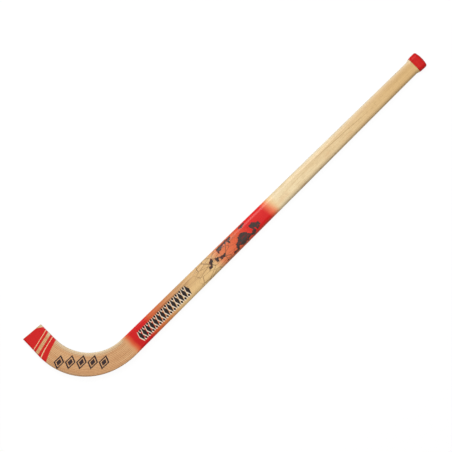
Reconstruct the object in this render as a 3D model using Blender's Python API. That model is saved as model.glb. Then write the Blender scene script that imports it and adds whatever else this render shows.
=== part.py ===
"""A wooden rink hockey stick, as the separate pieces that it is glued and pushed together from.

The stick lies on its flat side. +X runs up the shaft to the butt, +Y is the side that the toe turns to,
and +Z is up. The blade is a stack of veneers bent round a former, the shaft is one solid length that is
spliced into the stack with a V joint, and a rubber cap is pushed over a tenon at the butt.

A place on the stick is given as a distance along the former's edge, from the toe, and a distance across
the stack, from the inside of the crook. All lengths are in metres and all angles in degrees.
"""

import math

import bmesh
import bpy
from mathutils import Vector

# Outline of the finished stick, seen on its flat side
BEND_RADIUS = 0.0938
TOE_LENGTH = 0.0410
SHAFT_LENGTH = 0.8010
TOE_WIDTH = 0.0460
BLADE_WIDTH = 0.0482
HEEL_WIDTH = 0.0424
BUTT_WIDTH = 0.0298
WIDEST_ANGLE = 62.0
TOE_CUT_ANGLE = 4.7

# Thickness of the finished stick, and the rounding of its long edges
SHAFT_THICKNESS = 0.0185
TOE_THICKNESS = 0.0155
BLADE_EDGE_RADIUS = 0.0035
SHAFT_EDGE_RADIUS = 0.0070
EDGE_RUN_LENGTH = 0.1500

# Veneers of the blade
LAMINA_THICKNESS = 0.0027
GLUE_GAP = 0.0003
THINNEST_VENEER = 0.0005

# V splice between the blade's stack and the shaft
SPLICE_START = 0.0250
SPLICE_LENGTH = 0.1900
NOSE_LAMINAE = 2

# Knob that the shaft flares into at the butt
KNOB_WIDTH = 0.0340
FLARE_LENGTH = 0.0080

# Rubber cap
CAP_LENGTH = 0.0213
CAP_DEPTH = 0.0160
CAP_WALL = 0.0024
CAP_LIP = 0.0010
CAP_CLEARANCE = 0.0003
RIM_CHAMFER = 0.0004
RIM_ROUND_LENGTH = 0.0020
CROWN_RADIUS = 0.0035
CROWN_RISE = 0.0011

# Fineness of the curved faces, and the least angle that is shaded as a sharp edge
TOE_STEPS = 2
BEND_STEPS = 24
SHAFT_STEPS = 8
FLARE_STEPS = 5
CORNER_STEPS = 4
RUN_UP = 0.0040
LEAST_SPACING = 0.0006
CROWN_SHARES = (0.35, 0.7)
SHARP_ANGLE = 35.0

# Colours and gloss of the bare materials, and how the veneers differ in shade
BEECH = (0.80, 0.60, 0.41)
ASH = (0.88, 0.77, 0.56)
RED_RUBBER = (0.72, 0.05, 0.05)
VARNISH_ROUGHNESS = 0.35
RUBBER_ROUGHNESS = 0.45
SHADE_RANGE = 0.05
SHADE_TURN = 137.5

# Sizes that follow from the ones above
PITCH = LAMINA_THICKNESS + GLUE_GAP
HALF_GAP = GLUE_GAP / 2
SHAFT_START = TOE_LENGTH + BEND_RADIUS * math.pi / 2
WIDEST_AT = SHAFT_START - BEND_RADIUS * math.radians(WIDEST_ANGLE)
SHOULDER_AT = SHAFT_START + SHAFT_LENGTH
FLARE_AT = SHOULDER_AT - FLARE_LENGTH
NOSE_AT = SHAFT_START + SPLICE_START
MOUTH_AT = NOSE_AT + SPLICE_LENGTH
AXIS_ACROSS = HEEL_WIDTH / 2
TENON_INSET = CAP_WALL - CAP_LIP + CAP_CLEARANCE
TENON_LENGTH = CAP_DEPTH + GLUE_GAP - CAP_CLEARANCE
LAMINA_COUNT = int((BLADE_WIDTH - THINNEST_VENEER) / PITCH) + 1


def ease(share):
    """Smooth rise from 0 to 1."""
    share = min(max(share, 0.0), 1.0)
    return share * share * (3.0 - 2.0 * share)


def blend(start, end, share):
    """Value that lies a share of the way from start to end."""
    return start + (end - start) * share


# The finished stick's form

def edge_loss(along):
    """How far each edge of the shaft has come in from the heel, with the flare of the knob taken off."""
    taper = (HEEL_WIDTH - BUTT_WIDTH) / 2 * (along - SHAFT_START) / SHAFT_LENGTH
    flare = (KNOB_WIDTH - BUTT_WIDTH) / 2 * ease((along - FLARE_AT) / FLARE_LENGTH)
    return taper - flare


def inner_edge(along):
    """Where the edge on the inside of the crook lies across the stack."""
    if along < SHAFT_START:
        return 0.0
    return edge_loss(along)


def outer_edge(along):
    """Where the edge on the outside of the crook lies across the stack."""
    if along < WIDEST_AT:
        return blend(TOE_WIDTH, BLADE_WIDTH, ease(along / WIDEST_AT))
    if along < SHAFT_START:
        return blend(HEEL_WIDTH, BLADE_WIDTH, ease((SHAFT_START - along) / (SHAFT_START - WIDEST_AT)))
    return HEEL_WIDTH - edge_loss(along)


def edge_radius(along):
    """Radius of the rounded long edges, which grows from the blade to the shaft."""
    return blend(BLADE_EDGE_RADIUS, SHAFT_EDGE_RADIUS, ease((along - SHAFT_START) / EDGE_RUN_LENGTH))


def rounding(inside, radius):
    """How far a rounded edge drops below the flat side, at a distance inside the outline."""
    if inside >= radius:
        return 0.0
    short = radius - max(inside, 0.0)
    return radius - math.sqrt(radius ** 2 - short ** 2)


def half_thickness(along, across):
    """Half of the finished thickness at a place."""
    flat = blend(TOE_THICKNESS, SHAFT_THICKNESS, ease(along / SHAFT_START)) / 2
    radius = edge_radius(along)
    from_inner = rounding(across - inner_edge(along), radius)
    return flat - from_inner - rounding(outer_edge(along) - across, radius)


def upper_point(along, across):
    """Point of the upper side at a place, measured from the centre of the bend."""
    height = half_thickness(along, across)
    reach = BEND_RADIUS + across
    if along < TOE_LENGTH:
        return Vector((-reach, TOE_LENGTH - along, height))
    if along < SHAFT_START:
        turn = (along - TOE_LENGTH) / BEND_RADIUS
        return Vector((-reach * math.cos(turn), -reach * math.sin(turn), height))
    return Vector((along - SHAFT_START, -reach, height))


# Meshes and objects

def make_material(name, colour, roughness):
    """Plain non-metal material."""
    material = bpy.data.materials.new(name)
    material.use_nodes = True
    shader = material.node_tree.nodes["Principled BSDF"]
    shader.inputs["Base Color"].default_value = (*colour, 1.0)
    shader.inputs["Roughness"].default_value = roughness
    shader.inputs["Metallic"].default_value = 0.0
    return material


def make_object(name, shape, material, parent):
    """Object from a finished bmesh, with its faces turned outwards."""
    bmesh.ops.recalc_face_normals(shape, faces=shape.faces[:])
    mesh = bpy.data.meshes.new(name)
    shape.to_mesh(mesh)
    shape.free()
    mesh.shade_smooth()
    mesh.set_sharp_from_angle(angle=math.radians(SHARP_ANGLE))
    mesh.materials.append(material)
    piece = bpy.data.objects.new(name, mesh)
    piece.parent = parent
    bpy.context.scene.collection.objects.link(piece)
    return piece


def thicken_plan(rows):
    """Solid over a grid of places, which may have gaps, from the lower side of the stick to the upper."""
    shape = bmesh.new()
    grid = [[place and shape.verts.new(upper_point(*place)) for place in row] for row in rows]
    for row, next_row in zip(grid, grid[1:]):
        for column in range(len(row) - 1):
            corners = (row[column], row[column + 1], next_row[column + 1], next_row[column])
            if all(corners):
                shape.faces.new(corners)
    lower = bmesh.ops.extrude_face_region(shape, geom=shape.faces[:])
    for item in lower["geom"]:
        if isinstance(item, bmesh.types.BMVert):
            item.co.z = -item.co.z
    shape.normal_update()
    bmesh.ops.recalc_face_normals(shape, faces=shape.faces[:])
    return shape


# Blade

def seam(number):
    """Middle of the glue line below a veneer, across the stack."""
    return number * PITCH - HALF_GAP


def is_present(index, along):
    """Whether the outline leaves enough of a veneer to count, at a distance along."""
    low = max(index * PITCH, inner_edge(along))
    high = min(index * PITCH + LAMINA_THICKNESS, outer_edge(along))
    return high - low >= THINNEST_VENEER


def lamina_sides(index, along):
    """Both faces of a veneer across the stack, cut by the outline where no veneer lies outside it."""
    low = inner_edge(along)
    high = outer_edge(along)
    if is_present(index - 1, along):
        low = index * PITCH
    if is_present(index + 1, along):
        high = index * PITCH + LAMINA_THICKNESS
    return low, high


def splice_seams():
    """Numbers of the glue lines that the V joint starts from at its nose and reaches at its mouth."""
    nose_low = round(AXIS_ACROSS / PITCH - NOSE_LAMINAE / 2)
    mouth_low = 1
    while seam(mouth_low) < inner_edge(MOUTH_AT) + THINNEST_VENEER:
        mouth_low += 1
    mouth_high = nose_low + NOSE_LAMINAE
    while seam(mouth_high + 1) <= outer_edge(MOUTH_AT) - THINNEST_VENEER:
        mouth_high += 1
    return nose_low, nose_low + NOSE_LAMINAE, mouth_low, mouth_high


def lamina_end(across):
    """Where a veneer stops against the V joint, at a distance across the stack."""
    nose_low, nose_high, mouth_low, mouth_high = splice_seams()
    if across < seam(nose_low):
        share = (seam(nose_low) - across - HALF_GAP) / (seam(nose_low) - seam(mouth_low))
    elif across > seam(nose_high):
        share = (across - HALF_GAP - seam(nose_high)) / (seam(mouth_high) - seam(nose_high))
    else:
        share = 0.0
    return blend(NOSE_AT, MOUTH_AT, min(max(share, 0.0), 1.0)) - HALF_GAP


def lamina_shares(index):
    """Shares of a veneer's thickness at which its mesh has a line, closer together at a rounded edge."""
    angles = [math.radians(90.0) * step / CORNER_STEPS for step in range(CORNER_STEPS + 1)]
    if index * PITCH < SHAFT_EDGE_RADIUS:
        return [1.0 - math.cos(angle) for angle in angles]
    if index * PITCH + LAMINA_THICKNESS > outer_edge(MOUTH_AT) - SHAFT_EDGE_RADIUS:
        return [math.sin(angle) for angle in angles]
    return [0.0, 1.0]


def lamina_stations(index):
    """Distances along at which a veneer's mesh has a row, from the toe to short of its end."""
    stations = [TOE_LENGTH * step / TOE_STEPS for step in range(1, TOE_STEPS)]
    stations += [blend(TOE_LENGTH, SHAFT_START, step / BEND_STEPS) for step in range(BEND_STEPS + 1)]
    stations += [blend(SHAFT_START, MOUTH_AT, step / SHAFT_STEPS) for step in range(1, SHAFT_STEPS)]
    middle = index * PITCH + LAMINA_THICKNESS / 2
    last = min(lamina_end(across) for across in (index * PITCH, middle, index * PITCH + LAMINA_THICKNESS))
    return [along for along in stations if along < last - RUN_UP and is_present(index, along)]


def make_lamina(index, parent):
    """One veneer, from the toe to the V joint or to where the outline has planed it away."""
    shares = lamina_shares(index)
    stations = lamina_stations(index)

    def across_at(along, share):
        low, high = lamina_sides(index, along)
        return blend(low, high, share)

    rows = []
    if is_present(index, 0.0):
        toe_slope = math.tan(math.radians(TOE_CUT_ANGLE))
        toe_row = [across_at(0.0, share) for share in shares]
        rows.append([(-across * toe_slope, across) for across in toe_row])
    rows += [[(along, across_at(along, share)) for share in shares] for along in stations]
    if is_present(index, MOUTH_AT) or stations[-1] > SHAFT_START:
        end_row = []
        for share in shares:
            end = lamina_end(across_at(stations[-1], share))
            end_row.append((end, across_at(end, share)))
        rows.append(end_row)
    name = f"blade_lamina_{index + 1:02d}"
    shade = 1.0 + SHADE_RANGE * math.sin(math.radians(SHADE_TURN) * index)
    material = make_material(name, [value * shade for value in BEECH], VARNISH_ROUGHNESS)
    return make_object(name, thicken_plan(rows), material, parent)


# Shaft

def with_line(knots, line):
    """Distances of a rounded edge's lines, with one more line in place of any that lies too close to it."""
    kept = [knot for knot in knots if knot == 0.0 or abs(knot - line) > LEAST_SPACING]
    return sorted(kept + [line])


def shaft_columns():
    """Distances in from the shaft's two edges at which its mesh has a line, and the wedge's own lines."""
    _, _, mouth_low, mouth_high = splice_seams()
    wedge_low = seam(mouth_low) + HALF_GAP - inner_edge(MOUTH_AT)
    wedge_high = outer_edge(MOUTH_AT) - (seam(mouth_high) - HALF_GAP)
    angles = [math.radians(90.0) * step / CORNER_STEPS for step in range(CORNER_STEPS + 1)]
    knots = [SHAFT_EDGE_RADIUS * (1.0 - math.cos(angle)) for angle in angles]
    return with_line(knots, wedge_low), with_line(knots, wedge_high), wedge_low, wedge_high


def make_shaft(parent):
    """Solid shaft: the wedge of the V joint, the tapered length, the knob and the tenon under the cap."""
    nose_low, nose_high, mouth_low, mouth_high = splice_seams()
    from_inner, from_outer, wedge_low, wedge_high = shaft_columns()

    def full_row(along):
        row = [(along, inner_edge(along) + inside) for inside in from_inner]
        row += [(along, outer_edge(along) - inside) for inside in reversed(from_outer)]
        return row

    mouth = MOUTH_AT + HALF_GAP
    mouth_row = full_row(mouth)
    mouth_start = inner_edge(mouth) + wedge_low
    mouth_end = outer_edge(mouth) - wedge_high
    skipped_low = from_inner.index(wedge_low)
    skipped_high = from_outer.index(wedge_high)
    in_wedge = mouth_row[skipped_low:len(mouth_row) - skipped_high]
    shares = [(across - mouth_start) / (mouth_end - mouth_start) for _, across in in_wedge]

    rows = []
    for step in range(SHAFT_STEPS):
        share = step / SHAFT_STEPS
        along = blend(NOSE_AT + HALF_GAP, MOUTH_AT, share)
        start = blend(seam(nose_low), seam(mouth_low), share) + HALF_GAP
        end = blend(seam(nose_high), seam(mouth_high), share) - HALF_GAP
        wedge_row = [(along, blend(start, end, part)) for part in shares]
        rows.append([None] * skipped_low + wedge_row + [None] * skipped_high)
    rows.append(mouth_row)
    rows += [full_row(blend(mouth, FLARE_AT, step / SHAFT_STEPS)) for step in range(1, SHAFT_STEPS + 1)]
    flare = [blend(FLARE_AT, SHOULDER_AT, step / FLARE_STEPS) for step in range(1, FLARE_STEPS + 1)]
    rows += [full_row(along) for along in flare]
    shape = thicken_plan(rows)

    short_of_end = SHAFT_LENGTH - HALF_GAP
    knob_end = [face for face in shape.faces if all(vert.co.x > short_of_end for vert in face.verts)]
    bmesh.ops.inset_region(shape, faces=knob_end, thickness=TENON_INSET, use_even_offset=True)
    tenon = bmesh.ops.extrude_face_region(shape, geom=knob_end)
    tenon_end = [item for item in tenon["geom"] if isinstance(item, bmesh.types.BMVert)]
    bmesh.ops.translate(shape, verts=tenon_end, vec=Vector((TENON_LENGTH, 0.0, 0.0)))
    bmesh.ops.delete(shape, geom=knob_end, context="FACES")
    return make_object("shaft", shape, make_material("shaft", ASH, VARNISH_ROUGHNESS), parent)


# Cap

def oblong_loop(shape, at, inset):
    """Loop of the cap's oblong section at a distance along its axis, inset from the outer face."""
    radius = max(SHAFT_EDGE_RADIUS + CAP_LIP - inset, CAP_CLEARANCE)
    half_width = KNOB_WIDTH / 2 + CAP_LIP - inset - radius
    half_height = SHAFT_THICKNESS / 2 + CAP_LIP - inset - radius
    loop = []
    for quarter, (side, rise) in enumerate(((1, 1), (-1, 1), (-1, -1), (1, -1))):
        for step in range(CORNER_STEPS + 1):
            angle = math.radians(90.0) * (quarter + step / CORNER_STEPS)
            across = side * half_width + radius * math.cos(angle)
            height = rise * half_height + radius * math.sin(angle)
            loop.append(shape.verts.new(Vector((at, across, height))))
    return loop


def cap_profile():
    """Distance along the axis and inset of each loop, from the floor of the hollow round to the crown."""
    edge_at = CAP_LENGTH - CROWN_RISE - CROWN_RADIUS
    profile = [(CAP_DEPTH, CAP_WALL), (0.0, CAP_WALL), (0.0, RIM_CHAMFER), (RIM_ROUND_LENGTH, 0.0)]
    for step in range(CORNER_STEPS + 1):
        angle = math.radians(90.0) * step / CORNER_STEPS
        profile.append((edge_at + CROWN_RADIUS * math.sin(angle), CROWN_RADIUS * (1.0 - math.cos(angle))))
    half = SHAFT_THICKNESS / 2 + CAP_LIP - CROWN_RADIUS
    for share in CROWN_SHARES:
        rise = CROWN_RISE * (1.0 - (1.0 - share) ** 2)
        profile.append((CAP_LENGTH - CROWN_RISE + rise, CROWN_RADIUS + half * share))
    return profile


def make_cap(parent):
    """Moulded rubber cap, open towards the shaft. Its origin is on the line that it slides along."""
    shape = bmesh.new()
    loops = [oblong_loop(shape, at, inset) for at, inset in cap_profile()]
    shape.faces.new(loops[0])
    shape.faces.new(loops[-1])
    for loop, next_loop in zip(loops, loops[1:]):
        for number in range(len(loop)):
            following = (number + 1) % len(loop)
            shape.faces.new((loop[number], loop[following], next_loop[following], next_loop[number]))
    cap = make_object("butt_cap", shape, make_material("butt_cap", RED_RUBBER, RUBBER_ROUGHNESS), parent)
    cap.location = Vector((SHAFT_LENGTH + GLUE_GAP, -BEND_RADIUS - AXIS_ACROSS, 0.0))
    return cap


# Whole stick

def seat(frame, pieces):
    """Move the frame so that the stick lies on the ground with its box centred on the origin."""
    corners = [piece.location + Vector(corner) for piece in pieces for corner in piece.bound_box]
    low = [min(corner[axis] for corner in corners) for axis in range(3)]
    high = [max(corner[axis] for corner in corners) for axis in range(3)]
    frame.location = Vector((-(low[0] + high[0]) / 2, -(low[1] + high[1]) / 2, -low[2]))


def main():
    """Build the stick."""
    for old in list(bpy.data.objects):
        bpy.data.objects.remove(old, do_unlink=True)
    frame = bpy.data.objects.new("stick_frame", None)
    bpy.context.scene.collection.objects.link(frame)
    pieces = [make_lamina(index, frame) for index in range(LAMINA_COUNT)]
    pieces.append(make_shaft(frame))
    pieces.append(make_cap(frame))
    seat(frame, pieces)
    bpy.context.view_layer.update()


main()
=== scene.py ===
"""Looks of a wooden rink hockey stick: a blade of bent beech veneers, a spliced ash shaft and a rubber cap.

The stick lies on its flat side. Its wooden pieces are all cut from one straight blank, planed to the
outline and rounded along its edges, and each is then bent round the former. A place on the blank is given
as a distance along it from the toe, a distance across it from the inside of the crook, and a height above
the middle of its thickness. Lengths are in metres and angles in degrees, unless a name says otherwise.
"""

import logging
import math
from dataclasses import dataclass, field, replace
from enum import Enum
from typing import Any, Iterable, Sequence

import bmesh
import bpy
from mathutils import Color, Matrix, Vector


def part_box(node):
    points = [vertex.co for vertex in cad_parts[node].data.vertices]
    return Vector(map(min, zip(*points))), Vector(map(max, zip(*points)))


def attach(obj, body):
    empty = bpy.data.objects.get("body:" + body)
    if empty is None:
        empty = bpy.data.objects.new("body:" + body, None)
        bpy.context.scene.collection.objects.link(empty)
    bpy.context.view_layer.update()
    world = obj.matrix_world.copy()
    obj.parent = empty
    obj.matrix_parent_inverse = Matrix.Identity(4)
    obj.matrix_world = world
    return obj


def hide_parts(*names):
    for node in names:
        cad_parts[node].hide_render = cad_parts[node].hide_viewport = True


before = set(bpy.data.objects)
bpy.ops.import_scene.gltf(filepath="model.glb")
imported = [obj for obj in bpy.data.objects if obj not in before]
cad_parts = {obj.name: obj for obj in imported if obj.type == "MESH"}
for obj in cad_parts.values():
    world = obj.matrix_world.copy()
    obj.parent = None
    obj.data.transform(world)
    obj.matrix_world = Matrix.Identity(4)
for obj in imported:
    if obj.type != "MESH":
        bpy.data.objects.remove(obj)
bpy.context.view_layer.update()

LOG = logging.getLogger("rink_stick")
VENEER_NODES = "blade_lamina_"
PLACE = "place"
SAME_POINT = 1e-7
ALONG = Vector((1.0, 0.0, 0.0))
ACROSS = Vector((0.0, 1.0, 0.0))

# How far the picture's level line is turned from the shaft
PICTURE_TURN = -44.62

# A pair of numbers. In a fade they are where it is still 0 and where it has reached 1
Span = tuple[float, float]
Rgba = tuple[float, float, float, float]
Stops = Sequence[tuple[float, Rgba]]
WHITE: Rgba = (1.0, 1.0, 1.0, 1.0)


class Body(Enum):
    """Bodies that the pieces ride on."""

    STICK = "stick"
    CAP = "cap"


class Slot(Enum):
    """Names of material slots for the three finishes."""

    BEECH = "beech"
    ASH = "ash"
    RED_RUBBER = "red_rubber"


class Side(Enum):
    """Sides of the stick, as the crook turns."""

    INSIDE = 0
    OUTSIDE = 1


class Noise(Enum):
    """How many numbers a noise pattern is read at."""

    ALONG_A_LINE = "1D"
    IN_SPACE = "3D"


class CellPart(Enum):
    """What a pattern of cells is read for, as the node's feature and its output."""

    CHANCE = ("F1", "Color")
    BORDER = ("DISTANCE_TO_EDGE", "Distance")


def ease(share: float) -> float:
    """Smooth rise from 0 to 1."""
    share = min(max(share, 0.0), 1.0)
    return share * share * (3.0 - 2.0 * share)


def blend(start: float, end: float, share: float) -> float:
    """Value that lies a share of the way from start to end."""
    return start + (end - start) * share


def tint(red: float, green: float, blue: float) -> Rgba:
    """Colour as a shader takes it, from red, green and blue as a screen shows them, each from 0 to 1."""
    return (*Color((red, green, blue)).from_srgb_to_scene_linear(), 1.0)


# Shader maths

class Signal:
    """What one socket of a node gives. Arithmetic on it adds Math nodes to the same sheet."""

    def __init__(self, sheet: "NodeSheet", socket: bpy.types.NodeSocket) -> None:
        """Wrap an output socket of a node that is on a sheet."""
        self.sheet = sheet
        self.socket = socket

    def __add__(self, other: "Signal | float") -> "Signal":
        """Sum."""
        return self.sheet.maths("ADD", self, other)

    def __sub__(self, other: "Signal | float") -> "Signal":
        """Difference."""
        return self.sheet.maths("SUBTRACT", self, other)

    def __rsub__(self, other: float) -> "Signal":
        """Difference from a number."""
        return self.sheet.maths("SUBTRACT", other, self)

    def __mul__(self, other: "Signal | float") -> "Signal":
        """Product."""
        return self.sheet.maths("MULTIPLY", self, other)

    def __truediv__(self, other: "Signal | float") -> "Signal":
        """Quotient."""
        return self.sheet.maths("DIVIDE", self, other)

    def __abs__(self) -> "Signal":
        """Size without its sign."""
        return self.sheet.maths("ABSOLUTE", self)

    def least(self, other: "Signal | float") -> "Signal":
        """Smaller of two values."""
        return self.sheet.maths("MINIMUM", self, other)

    def most(self, other: "Signal | float") -> "Signal":
        """Larger of two values."""
        return self.sheet.maths("MAXIMUM", self, other)

    def floor(self) -> "Signal":
        """Whole number below the value."""
        return self.sheet.maths("FLOOR", self)

    def fraction(self) -> "Signal":
        """What is left over the whole number below the value."""
        return self.sheet.maths("FRACT", self)

    def rise(self, low: float, high: float) -> "Signal":
        """Smooth step in the value.

        Args:
            low: Where the step is still 0.
            high: Where the step has reached 1. It may be the smaller of the two.

        Returns:
            The step, from 0 to 1.
        """
        settings = {"interpolation_type": "SMOOTHSTEP"}
        sockets = {"Value": self, "From Min": low, "From Max": high}
        return self.sheet.add("ShaderNodeMapRange", settings, sockets)

    def within(self, low: float, high: float, soft: float) -> "Signal":
        """1 from one value to a higher one and 0 beyond them, with edges that fade over a soft width."""
        half = soft / 2
        return self.rise(low - half, low + half) * self.rise(high + half, high - half)


class NodeSheet:
    """Nodes of one material or world, with the one way in which they are added."""

    # A Mix node names its sockets alike for every kind of data, so those for colours go by number
    MIX_BELOW = 6
    MIX_ABOVE = 7
    MIX_RESULT = 2

    def __init__(self, tree: bpy.types.NodeTree) -> None:
        """Start from a tree, which is emptied."""
        self.tree = tree
        tree.nodes.clear()

    def add(
        self, kind: str, settings: dict[str, Any], sockets: dict[Any, Any], output: int | str = 0,
    ) -> Signal:
        """Add a node.

        Args:
            kind: The node's type.
            settings: Its settings, which are set first. "stops" are a ramp's positions and colours.
            sockets: Values and links of its input sockets, by name or number.
            output: The output socket that is wanted.

        Returns:
            The wanted output.
        """
        node = self.tree.nodes.new(kind)
        for name, value in settings.items():
            if name == "stops":
                self._set_stops(node.color_ramp, value)
            else:
                setattr(node, name, value)
        for name, value in sockets.items():
            if isinstance(value, Signal):
                self.tree.links.new(value.socket, node.inputs[name])
            else:
                node.inputs[name].default_value = value
        return Signal(self, node.outputs[output] if node.outputs else None)

    @staticmethod
    def _set_stops(ramp: bpy.types.ColorRamp, stops: Stops) -> None:
        """Give a ramp its stops.

        Args:
            ramp: The ramp, with the two stops that it starts with.
            stops: Position and colour of each stop.
        """
        while len(ramp.elements) < len(stops):
            ramp.elements.new(1.0)
        for element, (position, shade) in zip(ramp.elements, stops):
            element.position = position
            element.color = shade

    def maths(self, operation: str, *values: Signal | float) -> Signal:
        """Math node on one or two values."""
        return self.add("ShaderNodeMath", {"operation": operation}, dict(enumerate(values)))

    def ramp(self, share: Signal, stops: Stops) -> Signal:
        """Colour that changes from stop to stop with a share from 0 to 1."""
        return self.add("ShaderNodeValToRGB", {"stops": stops}, {"Fac": share})

    def mix(self, share: Signal | float, first: Signal | Rgba, second: Signal | Rgba) -> Signal:
        """Mix two colours.

        Args:
            share: How much of the second colour shows.
            first: The colour below.
            second: The colour above.

        Returns:
            The mixed colour.
        """
        settings = {"data_type": "RGBA"}
        sockets = {"Factor": share, self.MIX_BELOW: first, self.MIX_ABOVE: second}
        return self.add("ShaderNodeMix", settings, sockets, self.MIX_RESULT)

    def point(self, x: Signal | float, y: Signal | float, z: Signal | float) -> Signal:
        """Point made of three values."""
        return self.add("ShaderNodeCombineXYZ", {}, {"X": x, "Y": y, "Z": z})

    def parts(self, point: Signal) -> tuple[Signal, Signal, Signal]:
        """Take a point or a colour apart.

        Args:
            point: The point.

        Returns:
            Its three values.
        """
        first = self.add("ShaderNodeSeparateXYZ", {}, {"Vector": point})
        x, y, z = (Signal(self, socket) for socket in first.socket.node.outputs)
        return x, y, z

    def noise(self, point: Signal, detail: float = 2.0) -> Signal:
        """Soft noise in space.

        Args:
            point: Where it is read. One unit is about one swell of the noise.
            detail: How many finer layers it has.

        Returns:
            The noise, about 0.5 on average.
        """
        settings = {"noise_dimensions": Noise.IN_SPACE.value}
        sockets = {"Vector": point, "Scale": 1.0, "Detail": detail}
        return self.add("ShaderNodeTexNoise", settings, sockets)

    def relief(self, height: Signal, depth: float) -> Signal:
        """Surface direction of a relief whose height runs from 0 to 1, with its depth in metres."""
        return self.add("ShaderNodeBump", {}, {"Height": height, "Distance": depth, "Strength": 1.0})

    def chance(self, value: Signal) -> Signal:
        """Random number from 0 to 1 for each value."""
        settings = {"noise_dimensions": Noise.ALONG_A_LINE.value}
        return self.add("ShaderNodeTexWhiteNoise", settings, {"W": value})

    def cells(self, point: Signal, part: CellPart) -> Signal:
        """Pattern of angular cells in a plane.

        Args:
            point: Where it is read. One unit is about one cell.
            part: What is wanted of it.

        Returns:
            A random colour for each cell, or the distance to the nearest border.
        """
        feature, output = part.value
        settings = {"voronoi_dimensions": "2D", "feature": feature}
        return self.add("ShaderNodeTexVoronoi", settings, {"Vector": point, "Scale": 1.0}, output)

    def surface(self, sockets: dict[str, Any]) -> None:
        """End a material with its main shader, whose sockets are given by name."""
        shader = self.add("ShaderNodeBsdfPrincipled", {}, sockets)
        self.add("ShaderNodeOutputMaterial", {}, {"Surface": shader})


def new_material(name: str) -> tuple[bpy.types.Material, NodeSheet]:
    """New material.

    Args:
        name: Its name.

    Returns:
        The material and its empty sheet.
    """
    material = bpy.data.materials.new(name)
    material.use_nodes = True
    return material, NodeSheet(material.node_tree)


# The finished stick's form

@dataclass
class StickForm:
    """Sizes of the finished stick, and the outline that follows from them."""

    bend_radius: float = 0.0938
    toe_length: float = 0.0410
    shaft_length: float = 0.8010
    toe_width: float = 0.0460
    blade_width: float = 0.0482
    heel_width: float = 0.0424
    butt_width: float = 0.0298
    knob_width: float = 0.0340
    flare_length: float = 0.0080
    widest_angle: float = 62.0
    toe_cut_angle: float = 4.7
    shaft_thickness: float = 0.0185
    toe_thickness: float = 0.0155
    blade_edge_radius: float = 0.0035
    shaft_edge_radius: float = 0.0070
    shaft_edge_reach: float = 0.0095
    edge_run_length: float = 0.1500
    veneer_thickness: float = 0.0027
    glue_thickness: float = 0.0003
    splice_start: float = 0.0250
    splice_length: float = 0.1900
    centre: Vector = field(init=False)

    def __post_init__(self) -> None:
        """Find the centre of the bend from the innermost veneer, which has one face on a known radius."""
        low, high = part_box("blade_lamina_01")
        reach = self.bend_radius + self.veneer_thickness
        self.centre = Vector((low.x + reach, low.y + reach, (low.z + high.z) / 2))

    @property
    def shaft_start(self) -> float:
        """Where the bend ends and the straight shaft starts."""
        return self.toe_length + self.bend_radius * math.pi / 2

    @property
    def shoulder_at(self) -> float:
        """Where the knob ends and the tenon starts."""
        return self.shaft_start + self.shaft_length

    @property
    def nose_at(self) -> float:
        """Where the splice's wedge starts."""
        return self.shaft_start + self.splice_start

    @property
    def mouth_at(self) -> float:
        """Where the splice's wedge has reached its planned width."""
        return self.nose_at + self.splice_length

    @property
    def flare_at(self) -> float:
        """Where the shaft starts to flare towards the knob."""
        return self.shoulder_at - self.flare_length

    @property
    def pitch(self) -> float:
        """Distance from one glue line to the next."""
        return self.veneer_thickness + self.glue_thickness

    @property
    def toe_slope(self) -> float:
        """How far the toe's cut leans along the blank for each metre across it."""
        return math.tan(math.radians(self.toe_cut_angle))

    @property
    def taper(self) -> float:
        """How far each edge of the shaft comes in for each metre along it."""
        return (self.heel_width - self.butt_width) / 2 / self.shaft_length

    def seam(self, number: int) -> float:
        """Where the glue line below a veneer lies across the blank."""
        return number * self.pitch - self.glue_thickness / 2

    def edges(self, along: float) -> tuple[float, float]:
        """Both edges of the outline.

        Args:
            along: Distance along the blank.

        Returns:
            Where the edges on the inside and the outside of the crook lie across the blank.
        """
        widest_at = self.shaft_start - self.bend_radius * math.radians(self.widest_angle)
        if along < widest_at:
            return 0.0, blend(self.toe_width, self.blade_width, ease(along / widest_at))
        if along < self.shaft_start:
            share = (self.shaft_start - along) / (self.shaft_start - widest_at)
            return 0.0, blend(self.heel_width, self.blade_width, ease(share))
        flare = (self.knob_width - self.butt_width) / 2 * ease((along - self.flare_at) / self.flare_length)
        loss = (along - self.shaft_start) * self.taper - flare
        return loss, self.heel_width - loss

    def rounding(self, along: float) -> tuple[float, float]:
        """Rounding of the long edges.

        Args:
            along: Distance along the blank.

        Returns:
            How far it comes down over the edge, and how far in over the flat side.
        """
        share = ease((along - self.shaft_start) / self.edge_run_length)
        down = blend(self.blade_edge_radius, self.shaft_edge_radius, share)
        return down, blend(self.blade_edge_radius, self.shaft_edge_reach, share)

    def half_thickness(self, along: float) -> float:
        """Half of the thickness between the flat sides at a distance along the blank."""
        return blend(self.toe_thickness, self.shaft_thickness, ease(along / self.shaft_start)) / 2

    def bent(self, place: Vector) -> Vector:
        """Bend a place of the blank round the former.

        Args:
            place: Distance along the blank, distance across it and height.

        Returns:
            The point on the finished stick.
        """
        reach = self.bend_radius + place.y
        if place.x < self.toe_length:
            return self.centre + Vector((-reach, self.toe_length - place.x, place.z))
        if place.x < self.shaft_start:
            turn = (place.x - self.toe_length) / self.bend_radius
            return self.centre + Vector((-reach * math.cos(turn), -reach * math.sin(turn), place.z))
        return self.centre + Vector((place.x - self.shaft_start, -reach, place.z))

    def bend(self, shape: bmesh.types.BMesh) -> None:
        """Keep the places of a straight piece, and bend it round the former.

        Args:
            shape: The piece.
        """
        store_places(shape)
        for vert in shape.verts:
            vert.co = self.bent(vert.co)


# Work on one shape

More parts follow.
